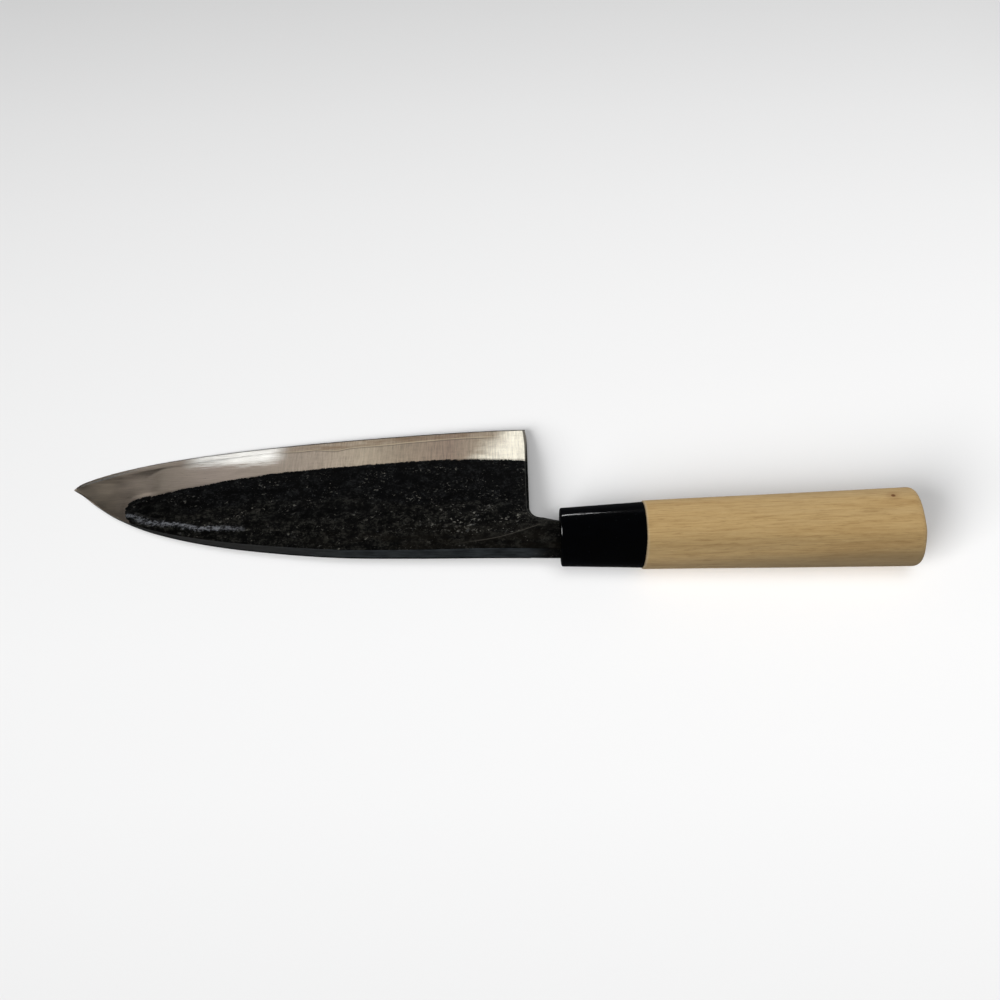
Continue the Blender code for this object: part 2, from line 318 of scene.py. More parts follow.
def forged_height(x, y):
    """Height of the front face over the back at a place on the blade or neck."""
    spine, edge, ridge = curve(SPINE_LINE, x), curve(EDGE_LINE, x), curve(RIDGE_LINE, x)
    spine_z, ridge_z = curve(SPINE_THICKNESS, x), curve(RIDGE_THICKNESS, x)
    share = (y - spine) / (ridge - spine)
    face = spine_z + (ridge_z - spine_z) * share
    reach = np.minimum(SHOULDER_WIDTH, 0.45 * (ridge - spine))
    crown = CROWN + CROWN_NEAR_TIP * np.exp(-((x + 133.0) / 15.0) ** 2)
    face += crown * (1 - np.exp(-2.4 * (y - spine) / reach)) * np.clip(1 - share, 0, 1)
    crease = curve(NECK_CREASE, x)
    fall = (ridge_z - NECK_HEIGHT) / (ridge - crease)
    necked = np.minimum(NECK_HEIGHT, NECK_HEIGHT + fall * (y - crease))
    necked -= 0.1 * ease(-0.1, 0.9, y - crease)
    face = face + (necked - face) * ease(-40.0, -27.0, x)
    fall = (ridge_z - EDGE_THICKNESS) * (y - ridge) / (edge - EDGE_LAND - ridge)
    bevel = ridge_z - fall
    soft = 0.015 + 0.5 * ease(-139.0, -150.0, x) * ease(TIP_X, -158.0, x)
    gap = (face - bevel) / soft
    lower = np.minimum(face, bevel) - soft * np.log1p(np.exp(-np.abs(gap))) * 0.8
    return np.where(x > HEEL_X - 2.5, np.minimum(face, bevel), lower)


def scale_outline():
    """The border of the forge scale: the bevel's ridge, then round the nose to the spine."""
    xs = np.linspace(6.0, -139.0, 90)
    ridge = curve(RIDGE_LINE, np.minimum(xs, HEEL_X))
    ridge += 0.16 * lumps(xs, ridge, ridge, 3.1, 4.0) + 0.2 * lumps(xs, ridge, ridge, 9.0, 8.0)
    return np.array(list(zip(xs, ridge)) + SCALE_NOSE)


def distance_to(line, x, y):
    """Distance from each place to an open line of points."""
    best = np.full(np.shape(x), 1e9)
    for (ax, ay), (bx, by) in zip(line[:-1], line[1:]):
        dx, dy = bx - ax, by - ay
        t = np.clip(((x - ax) * dx + (y - ay) * dy) / (dx * dx + dy * dy), 0, 1)
        best = np.minimum(best, np.hypot(x - ax - t * dx, y - ay - t * dy))
    return best


def depth_in_scale(x, y):
    """Distance from the scale's border, above 0 inside the scale."""
    line = scale_outline()
    closed = np.vstack([line, [(-142.4, -30.0), (6.0, -30.0)]])
    inside = np.zeros(np.shape(x), bool)
    for (ax, ay), (bx, by) in zip(closed, np.roll(closed, -1, axis=0)):
        crosses = (ay > y) != (by > y)
        at = ax + (y - ay) * (bx - ax) / np.where(by == ay, 1e-9, by - ay)
        inside ^= crosses & (x < at)
    return np.where(inside, 1, -1) * distance_to(line, x, y)


def heel_outline():
    """The border of the heel, its fillet and the neck, on the edge side."""
    points = [(HEEL_X - HEEL_LEAN, 47.2), (HEEL_X - 0.2, 43.0), (HEEL_X, 39.0),
              (HEEL_X, NECK_TOP_Y + FILLET)]
    points += [(CENTRE_X - FILLET * sin(a), NECK_TOP_Y + FILLET - FILLET * cos(a))
               for a in FILLET_ANGLES]
    return np.array(points + [(0.0, 5.1), (8.0, 5.0)])


def neck_top(x):
    """y of the neck's border on the edge side."""
    away = np.clip((CENTRE_X - x) / FILLET, 0, 1)
    round_y = NECK_TOP_Y + FILLET * (1 - np.sqrt(1 - away ** 2))
    sections = [(CENTRE_X, NECK_TOP_Y)] + [(s[0], s[2]) for s in NECK_SECTIONS]
    straight = np.interp(x, [s[0] for s in sections], [s[1] for s in sections])
    return np.where(x < CENTRE_X, round_y, straight)


def section_side(x, which):
    """One side of the neck's and tang's section: 1 low y, 2 high y, 3 low z or 4 high z."""
    places = np.array(NECK_SECTIONS)
    return np.interp(x, places[:, 0], places[:, which])


def interface_height(x, share):
    """Height of the weld between iron and steel: share 0 is the spine, 1 the lamination line."""
    at_line = forged_height(x, curve(LAMINATION_LINE, x))
    thin = np.minimum(STEEL_THICKNESS, 0.45 * curve(SPINE_THICKNESS, x))
    return thin + (at_line - thin) * share ** 3


def heel_lean(x, y):
    """How far the heel's line leans back to a softened corner at the edge."""
    return HEEL_LEAN * ease(39.0, 46.9, y) ** 2 * ease(HEEL_X - 4.0, HEEL_X, x)


def hammer_marks(x, y, border):
    """Unevenness that the forging left in the black face."""
    marks = 0.05 * lumps(x, y, y, (17.0, 9.0, 9.0), 1.0)
    marks += 0.022 * lumps(x, y, y, (5.0, 3.4, 3.4), 5.0)
    marks += 0.012 * lumps(x, y, y, 1.5, 9.0)
    return marks * ease(0.0, 1.6, border)


def forge_iron():
    """Soft-iron body: the blank is drawn out to the blade, neck and tang."""
    piece = blank_sheet("blade_iron", COLUMNS, IRON_ROWS)
    edit(piece)
    pick_faces(piece, lambda middle, normal: normal.x > 0.9 and middle.y < FILLET_ROW)
    for _ in NECK_X:
        extrude(x=1.0)
    leave_edit()
    grid = np.rint(points_of(piece)).astype(int)
    column, row, top = grid[:, 0], grid[:, 1], grid[:, 2] == 0
    all_x = np.concatenate([COLUMN_X, NECK_X])
    x = all_x[column]
    on_neck = column > COLUMNS
    spine, ridge = curve(SPINE_LINE, x), curve(RIDGE_LINE, np.minimum(x, HEEL_X))
    line = curve(LAMINATION_LINE, np.minimum(x, HEEL_X))
    rim = np.minimum(0.28, 0.08 * (ridge - spine))
    share = np.maximum(row - 1, 0) / (FACE_ROWS - 1)
    y_face = spine + rim + (ridge - spine - rim) * np.minimum(share, 1)
    y_bevel = ridge + (line - ridge) * (row - FACE_ROWS) / BEVEL_ROWS
    y = np.where(row <= FACE_ROWS, y_face, y_bevel)
    border_y = np.where(on_neck, neck_top(x), 0.0)
    low_y = np.where(x > 0, section_side(x, 1), spine)
    reach = border_y - NECK_CHAMFER - low_y - rim
    neck_y = low_y + rim + reach * np.maximum(row - 1, 0) / (FILLET_ROW - 2)
    y = np.where(on_neck, np.where(row == FILLET_ROW, border_y, neck_y), y)
    y = np.where(row == 0, low_y, y)
    depth = depth_in_scale(x, y)
    z = forged_height(np.minimum(x, 0.0), y)
    x = x - np.where(on_neck, 0.0, heel_lean(x, y))
    from_heel = distance_to(heel_outline(), x, y)
    chamfer = np.minimum(0.95, 0.2 * z)
    z -= 0.75 * chamfer * np.clip(1 - from_heel / chamfer, 0, 1) * (x < 1.5)
    z -= 0.16 * ease(0.0, 2.2, -depth) * ease(-136.0, -142.0, x) * ease(-160.0, -150.0, x)
    swell, nose_crease = distance_to(NOSE_SWELL, x, y), distance_to(NOSE_CREASE, x, y)
    z += 0.13 * np.exp(-swell ** 2) - 0.2 * np.exp(-(nose_crease / 0.5) ** 2)
    z += hammer_marks(x, y, np.minimum(depth, y - spine)) * (x < -3.0)
    z = np.where(x > 0, section_side(x, 4), z)
    z = np.where(row == 0, z - 0.9 * rim, z)
    weld = interface_height(x, np.clip((y - spine) / (line - spine), 0, 1)) + WELD_GAP
    low = np.where(on_neck, section_side(x, 3), weld)
    low = np.where(on_neck & (row == 0), low + 0.15, low)
    z = np.maximum(z, low + 0.02)
    put_points(piece, np.column_stack([x, y, np.where(top, z, low)]))
    keep_value(piece, "scale_depth", depth)
    keep_value(piece, "heel_distance", np.clip(from_heel, 0, 6))
    keep_value(piece, "spine_face", (row == 0) * 1.0)
    keep_value(piece, "weld_distance", line - y)
    keep_value(piece, "edge_distance", curve(EDGE_LINE, x) - y)
    keep_value(piece, "swell_distance", np.clip(swell, 0, 6))
    keep_value(piece, "crease_distance", np.where(x > -45, y - curve(NECK_CREASE, x), 6.0))
    return piece


def forge_steel():
    """Hard steel layer on the back: bevelled to the edge in front, hollowed behind."""
    rows = STEEL_BACK_ROWS + STEEL_EDGE_ROWS
    piece = blank_sheet("edge_steel_layer", COLUMNS, rows)
    grid = np.rint(points_of(piece)).astype(int)
    column, row, top = grid[:, 0], grid[:, 1], grid[:, 2] == 0
    x = COLUMN_X[column]
    spine, edge, line = curve(SPINE_LINE, x), curve(EDGE_LINE, x), curve(LAMINATION_LINE, x)
    back = np.minimum(row / STEEL_BACK_ROWS, 1)
    edge_share = np.clip((row - STEEL_BACK_ROWS) / (STEEL_EDGE_ROWS - 1), 0, 1)
    land = np.minimum(EDGE_LAND, 0.15 * (edge - line))
    y = np.where(row <= STEEL_BACK_ROWS, spine + (line - spine) * back,
                 line + (edge - land - line) * edge_share)
    last = row == rows
    lean = heel_lean(x, y)
    wear = 0.05 * lumps(x, x, x, 2.3, 3.0) * ease(TIP_X, TIP_X + 6.0, x)
    y = np.where(last, edge + wear, y)
    z_top = np.where(row < STEEL_BACK_ROWS, interface_height(x, back) - WELD_GAP,
                     forged_height(x, y))
    z_top = np.where(last, 0.05, z_top)
    corner = ease(0.9, 0.0, HEEL_X - x)
    z_top -= 0.25 * corner * z_top
    inside = np.minimum(np.minimum(y - spine, edge - y), HEEL_X - x)
    hollow = BACK_HOLLOW * ease(2.2, 9.0, inside) * ease(-150.0, -140.0, x)
    z_low = np.where(last, 0.0, hollow)
    put_points(piece, np.column_stack([x - lean, y, np.where(top, z_top, z_low)]))
    keep_value(piece, "heel_distance", np.clip(HEEL_X - x, 0, 6))
    keep_value(piece, "spine_face", (row == 0) * 1.0)
    keep_value(piece, "weld_distance", line - y)
    keep_value(piece, "edge_distance", edge - y)
    keep_value(piece, "hollow", hollow)
    return piece


# ---------------------------------------------------------------- handle

def round_bar(name, start_x, end_x):
    """A round bar along x with radius 1 and closed ends."""
    deselect()
    bpy.ops.mesh.primitive_cylinder_add(vertices=SIDES, radius=1.0, depth=end_x - start_x,
                                        end_fill_type='NGON', rotation=(0.0, pi / 2, 0.0),
                                        location=((start_x + end_x) / 2, 0.0, 0.0))
    piece = begin(name)
    bpy.ops.object.transform_apply(location=True, rotation=True, scale=True)
    return piece


def cut_rings(piece, places):
    """Lines round the bar at these x, by bisecting it."""
    for x in places:
        bpy.ops.mesh.select_all(action='SELECT')
        bpy.ops.mesh.bisect(plane_co=(x, 0.0, 0.0), plane_no=(1.0, 0.0, 0.0))


def press_oval(points, width_at, wander=0.0, seed=0.0):
    """Press round points of radius 1 into the handle's oval with its soft ridge."""
    x = points[:, 0]
    radius = np.hypot(points[:, 1], points[:, 2])
    angle = np.arctan2(points[:, 2], points[:, 1])
    away = (np.mod(angle - RIDGE_ANGLE + pi, 2 * pi) - pi) / RIDGE_SPREAD
    swell = 1.0 + RIDGE_HEIGHT * np.exp(-away ** 2)
    wide = width_at(x)
    uneven = wander * lumps(x, 9 * np.cos(angle), 9 * np.sin(angle), (30.0, 7.0, 7.0), seed)
    inset = (1 - radius) * wide - uneven
    y = AXIS_Y + (wide * swell - inset) * np.cos(angle)
    z = AXIS_Z + (wide * OVAL_RATIO * swell - inset) * np.sin(angle)
    return np.column_stack([x, y, z])


def ferrule_width(x):
    low, high = FERRULE_HALF_WIDTHS
    return low + (high - low) * x / FERRULE_LENGTH


def grip_width(x):
    low, high = GRIP_HALF_WIDTHS
    return low + (high - low) * (x - FERRULE_LENGTH) / (BUTT_X - FERRULE_LENGTH)


def mould_ferrule():
    """Black collar: an open tube with a rolled lip and a fine edge where it meets the wood."""
    piece = round_bar("ferrule_collar", 0.0, FERRULE_LENGTH - 0.06)
    edit(piece)
    wall = FERRULE_WALL / 10.6
    pick_faces(piece, lambda middle, normal: abs(normal.x) > 0.9)
    bpy.ops.mesh.inset(thickness=wall)
    bpy.ops.mesh.bridge_edge_loops()
    pick_outside_edges(piece, lambda x: x < 0.01)
    bpy.ops.mesh.bevel(offset=0.11, segments=5)
    pick_outside_edges(piece, lambda x: x > 20.0)
    bpy.ops.mesh.bevel(offset=0.035, segments=2)
    cut_rings(piece, [2.0, 4.0, 7.0, 10.0, 13.0, 16.0, 19.0, 22.0, 24.5, 26.2])
    leave_edit()
    points = points_of(piece)
    near_lip = points[:, 0] < 0.5
    points[near_lip, 0] *= 5.5
    points[:, 0] -= 0.45 * ease(3.0, 0.0, points[:, 0])
    put_points(piece, slant_joint(press_oval(points, ferrule_width, wander=0.025, seed=2.0)))
    face_outwards(piece)
    return piece


def slant_joint(points):
    """Lean the joint between ferrule and wood a little, lower points towards the blade."""
    points = points.copy()
    near = np.exp(-((points[:, 0] - FERRULE_LENGTH) / 5.0) ** 2)
    points[:, 0] -= JOINT_SLANT * (JOINT_TOP_Z - points[:, 2]) * near
    return points


def tang_hole(points):
    """Move round points onto the wall of the tang's hole, a little clear of the tang."""
    x = points[:, 0]
    angle = np.arctan2(points[:, 2], points[:, 1])
    low_y, high_y, low_z, high_z = [section_side(x, which) for which in (1, 2, 3, 4)]
    half_y = (high_y - low_y) / 2 + HOLE_CLEARANCE
    half_z = (high_z - low_z) / 2 + HOLE_CLEARANCE
    reach = 1 / np.maximum(np.abs(np.cos(angle)) / half_y, np.abs(np.sin(angle)) / half_z)
    return np.column_stack([x, (low_y + high_y) / 2 + reach * np.cos(angle),
                            (low_z + high_z) / 2 + reach * np.sin(angle)])


def turn_grip():
    """Magnolia grip with a spigot for the ferrule, a burnt-in tang hole and a rounded butt."""
    piece = round_bar("wood_grip", FERRULE_LENGTH, BUTT_X)
    edit(piece)
    pick_faces(piece, lambda middle, normal: normal.x < -0.9)
    bpy.ops.mesh.inset(thickness=0.2)
    extrude(x=SPIGOT_X - FERRULE_LENGTH)
    bpy.ops.mesh.inset(thickness=0.4)
    extrude(x=HOLE_BEND_X - SPIGOT_X)
    extrude(x=HOLE_END_X - HOLE_BEND_X)
    pick_outside_edges(piece, lambda x: abs(x - FERRULE_LENGTH) < 0.01)
    bpy.ops.mesh.bevel(offset=0.045, segments=4)
    pick_outside_edges(piece, lambda x: x > BUTT_X - 0.01)
    bpy.ops.mesh.bevel(offset=0.24, segments=10)
    pick_faces(piece, lambda middle, normal: normal.x > 0.9995 and middle.x > BUTT_X - 0.01)
    for depth in (0.16, 0.2, 0.2):
        bpy.ops.mesh.inset(thickness=depth)
    cut_rings(piece, [31.0 + 5.2 * k for k in range(17)])
    leave_edit()
    points = points_of(piece)
    radius = np.hypot(points[:, 1], points[:, 2])
    hole = (radius < 0.5) & (points[:, 0] < HOLE_END_X + 0.1)
    spigot = (radius < 0.9) & ~hole & (points[:, 0] < FERRULE_LENGTH + 0.01)
    x = points[:, 0].copy()
    front = (x > FERRULE_LENGTH - 0.01) & (x < FERRULE_LENGTH + 0.2) & (radius > 0.9)
    points[front, 0] = FERRULE_LENGTH + (x[front] - FERRULE_LENGTH) * 11.0
    end = x > BUTT_X - 0.3
    points[end, 0] = BUTT_X - (BUTT_X - x[end]) * 13.2
    points[:, 0] -= 0.22 * ease(BUTT_X - 1.0, BUTT_X, points[:, 0]) * radius ** 2
    shaped = press_oval(points, grip_width, wander=0.05, seed=6.0)
    fit = points.copy()
    wide = ferrule_width(points[:, 0])
    fit[:, 1:] *= ((wide - FERRULE_WALL - 0.1) / wide / np.maximum(radius, 1e-6))[:, None]
    shaped = np.where(spigot[:, None], press_oval(fit, ferrule_width), shaped)
    put_points(piece, np.where(hole[:, None], tang_hole(points), slant_joint(shaped)))
    face_outwards(piece)
    return piece


def pour_seal():
    """Dark resin that fills the mouth round the neck, sunk a little between the two."""
    piece = round_bar("mouth_seal", SEAL_FRONT_X, SEAL_BACK_X)
    edit(piece)
    pick_faces(piece, lambda middle, normal: abs(normal.x) > 0.9)
    for _ in range(5):
        bpy.ops.mesh.inset(thickness=0.12)
    bpy.ops.mesh.bridge_edge_loops()
    leave_edit()
    points = points_of(piece)
    radius = np.hypot(points[:, 1], points[:, 2])
    share = ((1 - radius) / 0.6)[:, None]
    outer = points.copy()
    fill = (ferrule_width(points[:, 0]) - FERRULE_WALL - 0.02) / ferrule_width(points[:, 0])
    outer[:, 1:] *= (fill / radius)[:, None]
    places = press_oval(outer, ferrule_width) * (1 - share) + tang_hole(points) * share
    front = points[:, 0] < SEAL_FRONT_X + 0.1
    sag = 0.45 * np.sin(pi * share[:, 0])
    sag += 0.12 * lumps(places[:, 1], places[:, 2], radius, 2.4, 7.0)
    places[front, 0] += sag[front]
    put_points(piece, places)
    face_outwards(piece)
    return piece


# ---------------------------------------------------------------- finishes

def shade(red, green, blue):
    """A colour given as seen on a screen, 0 to 255, as linear light."""
    def linear(value):
        value /= 255.0
        return value / 12.92 if value <= 0.04045 else ((value + 0.055) / 1.055) ** 2.4
    return (linear(red), linear(green), linear(blue), 1.0)


def grey(level):
    return (level, level, level, 1.0)


# Tone of the ground bevel along the blade, from the tip (0) to the heel (1): the steel's own
# warm tone, with painted reflection in its lighter and darker bands.
BEVEL_TONE_AND_REFLECTION = [
    (0.00, (0.46, 0.39, 0.31, 1.0)), (0.08, (0.56, 0.47, 0.37, 1.0)),
    (0.12, (0.54, 0.45, 0.37, 1.0)), (0.19, (0.33, 0.28, 0.23, 1.0)),
    (0.30, (0.28, 0.235, 0.20, 1.0)), (0.455, (0.26, 0.22, 0.18, 1.0)),
    (0.54, (0.30, 0.25, 0.20, 1.0)), (0.635, (0.35, 0.295, 0.225, 1.0)),
    (0.72, (0.27, 0.22, 0.165, 1.0)), (0.83, (0.235, 0.18, 0.14, 1.0)),
    (0.90, (0.30, 0.25, 0.19, 1.0)), (1.0, (0.33, 0.28, 0.22, 1.0))]
STREAK_HIGHLIGHT = (0.86, 0.85, 0.81, 1.0)
HEEL_REFLECTION = (0.76, 0.72, 0.61, 1.0)
PITS = (0.16, 0.13, 0.10, 1.0)
DARK_CHAMFER = (0.05, 0.042, 0.034, 1.0)
PALE_WELD = (0.50, 0.42, 0.30, 1.0)
DARK_WELD = (0.10, 0.08, 0.06, 1.0)
BROWN_STAIN = (0.17, 0.115, 0.07, 1.0)
DARK_EDGE = (0.12, 0.11, 0.10, 1.0)
SATIN_LOW = (0.42, 0.40, 0.38, 1.0)
SATIN_HIGH = (0.60, 0.57, 0.54, 1.0)
HOLLOW_TONE = (0.24, 0.23, 0.23, 1.0)
KNOT_PLACE = (108.25, 6.12, 13.4)
GRIP_LOW_Z = -6.4


class Finish:
    """A material, mixed node by node, whose patterns are laid out in the knife frame in mm."""

    def __init__(self, name):
        self.material = bpy.data.materials.new(name)
        self.material.use_nodes = True
        self.nodes = self.material.node_tree.nodes
        self.shader = self.nodes["Principled BSDF"]
        back = KNIFE.inverted()
        source = self.add('ShaderNodeTexCoord')
        self.place = self.add('ShaderNodeMapping', Vector=source.outputs["Object"],
                              Location=back.translation, Rotation=back.to_euler('XYZ'),
                              Scale=back.to_scale()).outputs[0]

    def add(self, kind, settings=None, **inputs):
        """A new node, with these settings on it and these inputs fed."""
        node = self.nodes.new(kind)
        for name, value in (settings or {}).items():
            setattr(node, name, value)
        for name, value in inputs.items():
            self.feed(node.inputs[name], value)
        return node

    def feed(self, socket, value):
        """Link a socket to another, or set the number or colour on it."""
        if isinstance(value, bpy.types.NodeSocket):
            self.material.node_tree.links.new(value, socket)
        else:
            socket.default_value = value

    def set(self, **values):
        """Feed the shader's own inputs."""
        for name, value in values.items():
            self.feed(self.shader.inputs[name.replace("_", " ")], value)

    def value(self, name):
        """A number that the mesh carries at each point."""
        return self.add('ShaderNodeAttribute', {"attribute_name": name}).outputs["Fac"]

    def axis(self, name):
        """One coordinate of the knife frame, in mm."""
        return self.add('ShaderNodeSeparateXYZ', Vector=self.place).outputs[name]

    def stretch(self, size, shift=(0.0, 0.0, 0.0), turn=0.0):
        """Places divided by a size in mm, which is one number or one along each axis."""
        x, y, z = size if isinstance(size, tuple) else (size,) * 3
        return self.add('ShaderNodeMapping', Vector=self.place, Scale=(1 / x, 1 / y, 1 / z),
                        Location=shift, Rotation=(0.0, 0.0, turn)).outputs[0]

    def grain(self, size, detail=3.0, rough=0.5, shift=(0.0, 0.0, 0.0), turn=0.0):
        """Noise from 0 to 1 with grains of this size."""
        return self.add('ShaderNodeTexNoise', {"noise_dimensions": '3D'},
                        Vector=self.stretch(size, shift, turn), Scale=1.0, Detail=detail,
                        Roughness=rough).outputs["Fac"]

    def cells(self, size):
        """Distance to the nearest of scattered spots, this far apart."""
        return self.add('ShaderNodeTexVoronoi', Vector=self.stretch(size),
                        Scale=1.0).outputs["Distance"]

    def math(self, operation, first, second=0.0):
        node = self.add('ShaderNodeMath', {"operation": operation})
        self.feed(node.inputs[0], first)
        self.feed(node.inputs[1], second)
        return node.outputs[0]

    def product(self, first, *others):
        """All of these multiplied together."""
        for other in others:
            first = self.math('MULTIPLY', first, other)
        return first

    def fit(self, value, low, high, start=0.0, end=1.0):
        """A value eased from low..high to start..end."""
        return self.add('ShaderNodeMapRange', {"interpolation_type": 'SMOOTHSTEP'},
                        **{"Value": value, "From Min": low, "From Max": high,
                           "To Min": start, "To Max": end}).outputs[0]

    def band(self, value, centre, outer, inner):
        """1 where a value is within inner of a centre, easing to 0 where it is outer away."""
        away = self.math('ABSOLUTE', self.math('SUBTRACT', value, centre))
        return self.fit(away, outer, inner)

    def mix(self, share, first, second, blend='MIX'):
        """Two colours mixed: share 0 is the first, 1 the second."""
        node = self.add('ShaderNodeMix', {"data_type": 'RGBA', "blend_type": blend})
        self.feed(node.inputs["Factor"], share)
        self.feed(node.inputs[6], first)
        self.feed(node.inputs[7], second)
        return node.outputs[2]

    def blend(self, share, first, second):
        """Two numbers mixed: share 0 is the first, 1 the second."""
        node = self.add('ShaderNodeMix', {"data_type": 'FLOAT'})
        self.feed(node.inputs["Factor"], share)
        self.feed(node.inputs[2], first)
        self.feed(node.inputs[3], second)
        return node.outputs[0]

    def ramp(self, value, stops):
        """A colour from a band of (position, colour) stops."""
        node = self.add('ShaderNodeValToRGB', Fac=value)
        fill_band(node.color_ramp, stops)
        return node.outputs["Color"]

    def bump(self, height, distance, strength):
        return self.add('ShaderNodeBump', Height=height, Distance=distance * MM,
                        Strength=strength).outputs[0]


def fill_band(band, stops):
    """Give a colour band these (position, colour) stops."""
    while len(band.elements) < len(stops):
        band.elements.new(1.0)
    for element, (position, colour) in zip(band.elements, stops):
        element.position = position
        element.color = colour


def ground_metal(mat):
    """Colour with painted highlight and reflection, roughness, scratches, share along the blade
    and distance from the edge.
    """
    along = mat.add('ShaderNodeMapRange', **{"Value": mat.axis("X"), "From Min": TIP_X,
                                             "From Max": HEEL_X}).outputs[0]
    edge = mat.value("edge_distance")
    cloud = mat.grain((9.0, 3.5, 3.5), 4.0, 0.6)
    lines_across = mat.grain((0.62, 9.0, 9.0), 4.0, 0.75, turn=radians(-4.0))
    lines_along = mat.grain((11.0, 0.35, 0.35), 4.0, 0.7, turn=radians(9.0))
    near_tip = mat.fit(along, 0.50, 0.40)
    lines = mat.blend(near_tip, lines_across, lines_along)

    # A painted highlight low on the bevel, behind the tip.
    low = mat.math('ADD', edge, mat.fit(lines_along, 0.2, 0.8, -2.5, 2.5))
    low = mat.math('SUBTRACT', low, mat.fit(along, 0.24, 0.42, 0.0, 3.0))
    bevel_highlight = mat.product(mat.fit(along, 0.225, 0.28), mat.fit(along, 0.475, 0.42),
                         mat.fit(low, 6.0, 2.2), mat.fit(lines_along, 0.25, 0.6, 0.55, 1.0))
    tone = mat.mix(bevel_highlight, mat.ramp(along, BEVEL_TONE_AND_REFLECTION), STREAK_HIGHLIGHT)

    # A pitted bright patch at the heel, with a slanting border: the brightness is painted
    # reflection, the pits are the steel's own.
    slant = mat.math('ADD', along, mat.math('MULTIPLY', edge, 0.0038))
    slant = mat.math('ADD', slant, mat.fit(cloud, 0.3, 0.7, -0.012, 0.012))
    tone = mat.mix(mat.fit(slant, 0.91, 0.995), tone, HEEL_REFLECTION)
    pits = mat.product(mat.fit(mat.cells((0.9, 0.7, 0.7)), 0.16, 0.1),
                       mat.fit(slant, 0.88, 0.95, 0.15, 0.8),
                       mat.fit(mat.grain(3.0, 2.0, 0.5), 0.45, 0.55))
    tone = mat.mix(pits, tone, PITS)

    # Scratches and clouds, finer near the tip, and the dark chamfer round the heel.
    amount = mat.blend(near_tip, 0.32, 0.12)
    shadow = mat.product(mat.fit(lines, 0.28, 0.72, -1.0, 1.0), amount)
    shadow = mat.math('ADD', shadow, mat.product(mat.fit(cloud, 0.3, 0.7, -0.6, 0.6), amount))
    shadow = mat.math('ADD', shadow, 1.0)
    shadow = mat.add('ShaderNodeCombineColor', Red=shadow, Green=shadow, Blue=shadow)
    tone = mat.mix(1.0, tone, shadow.outputs[0], 'MULTIPLY')
    chamfer = mat.fit(mat.value("heel_distance"), 1.05, 0.8, 0.0, 0.9)
    tone = mat.mix(chamfer, tone, DARK_CHAMFER)
    rough = mat.fit(mat.math('ADD', lines, cloud), 0.6, 1.4, 0.27, 0.42)
    return tone, rough, lines, along, edge


def scale_tone(mat, mottle, x, y):
    """Mottled black of the forge scale: deep by the bevel, duller and browner by the spine."""
    drift = mat.fit(mat.grain((22.0, 6.0, 6.0), 3.0, 0.6), 0.3, 0.7, -5.0, 5.0)
    dull = mat.fit(mat.math('ADD', y, drift), 20.0, 9.0)
    deep = mat.ramp(mottle, [(0.42, shade(0, 0, 1)), (0.52, shade(3, 4, 5)),
                             (0.61, shade(36, 37, 38))])
    wear_and_sheen = mat.ramp(mottle, [(0.41, shade(0, 0, 0)), (0.50, shade(11, 11, 10)),
                             (0.60, shade(56, 55, 50))])
    patches = mat.fit(mat.grain((16.0, 4.0, 4.0), 3.0, 0.6), 0.35, 0.6)
    brown = mat.product(mat.fit(y, 8.0, 0.0), patches, mat.fit(x, -95.0, -60.0, 0.0, 0.6))
    return mat.mix(brown, mat.mix(dull, deep, wear_and_sheen), shade(28, 24, 17))


def flake_share(mat, depth, x, y):
    """Where the scale has flaked: in clusters, as specks, and most of all before the neck."""
    cluster = mat.grain((13.0, 5.0, 5.0), 3.0, 0.6, shift=(3.1, 0.7, 0.0))
    worn_zone = mat.product(mat.fit(x, -50.0, -34.0), mat.fit(y, 15.0, 9.0),
                            mat.fit(x, -10.0, -17.0), mat.fit(y, -1.0, 3.0))
    limit = mat.math('SUBTRACT', mat.fit(cluster, 0.38, 0.62, 0.68, 0.59),
                     mat.math('MULTIPLY', worn_zone, 0.055))
    chips = mat.grain((1.3, 1.0, 1.0), 4.0, 0.6, shift=(7.3, 2.1, 0.0))
    flake = mat.fit(mat.math('SUBTRACT', chips, limit), -0.01, 0.05)
    dots = mat.grain((0.55, 0.45, 0.45), 1.0, 0.5, shift=(1.3, 5.1, 0.0))
    specks = mat.product(mat.fit(dots, 0.64, 0.74), mat.fit(cluster, 0.4, 0.6, 0.1, 0.7))
    patchy = mat.fit(mat.grain(2.6, 2.0, 0.5, shift=(4.0, 1.0, 0.0)), 0.35, 0.62, 0.2, 1.0)
    return mat.product(mat.math('MAXIMUM', flake, specks), mat.fit(depth, 0.5, 1.5), patchy,
                       mat.blend(worn_zone, 0.55, 1.0))


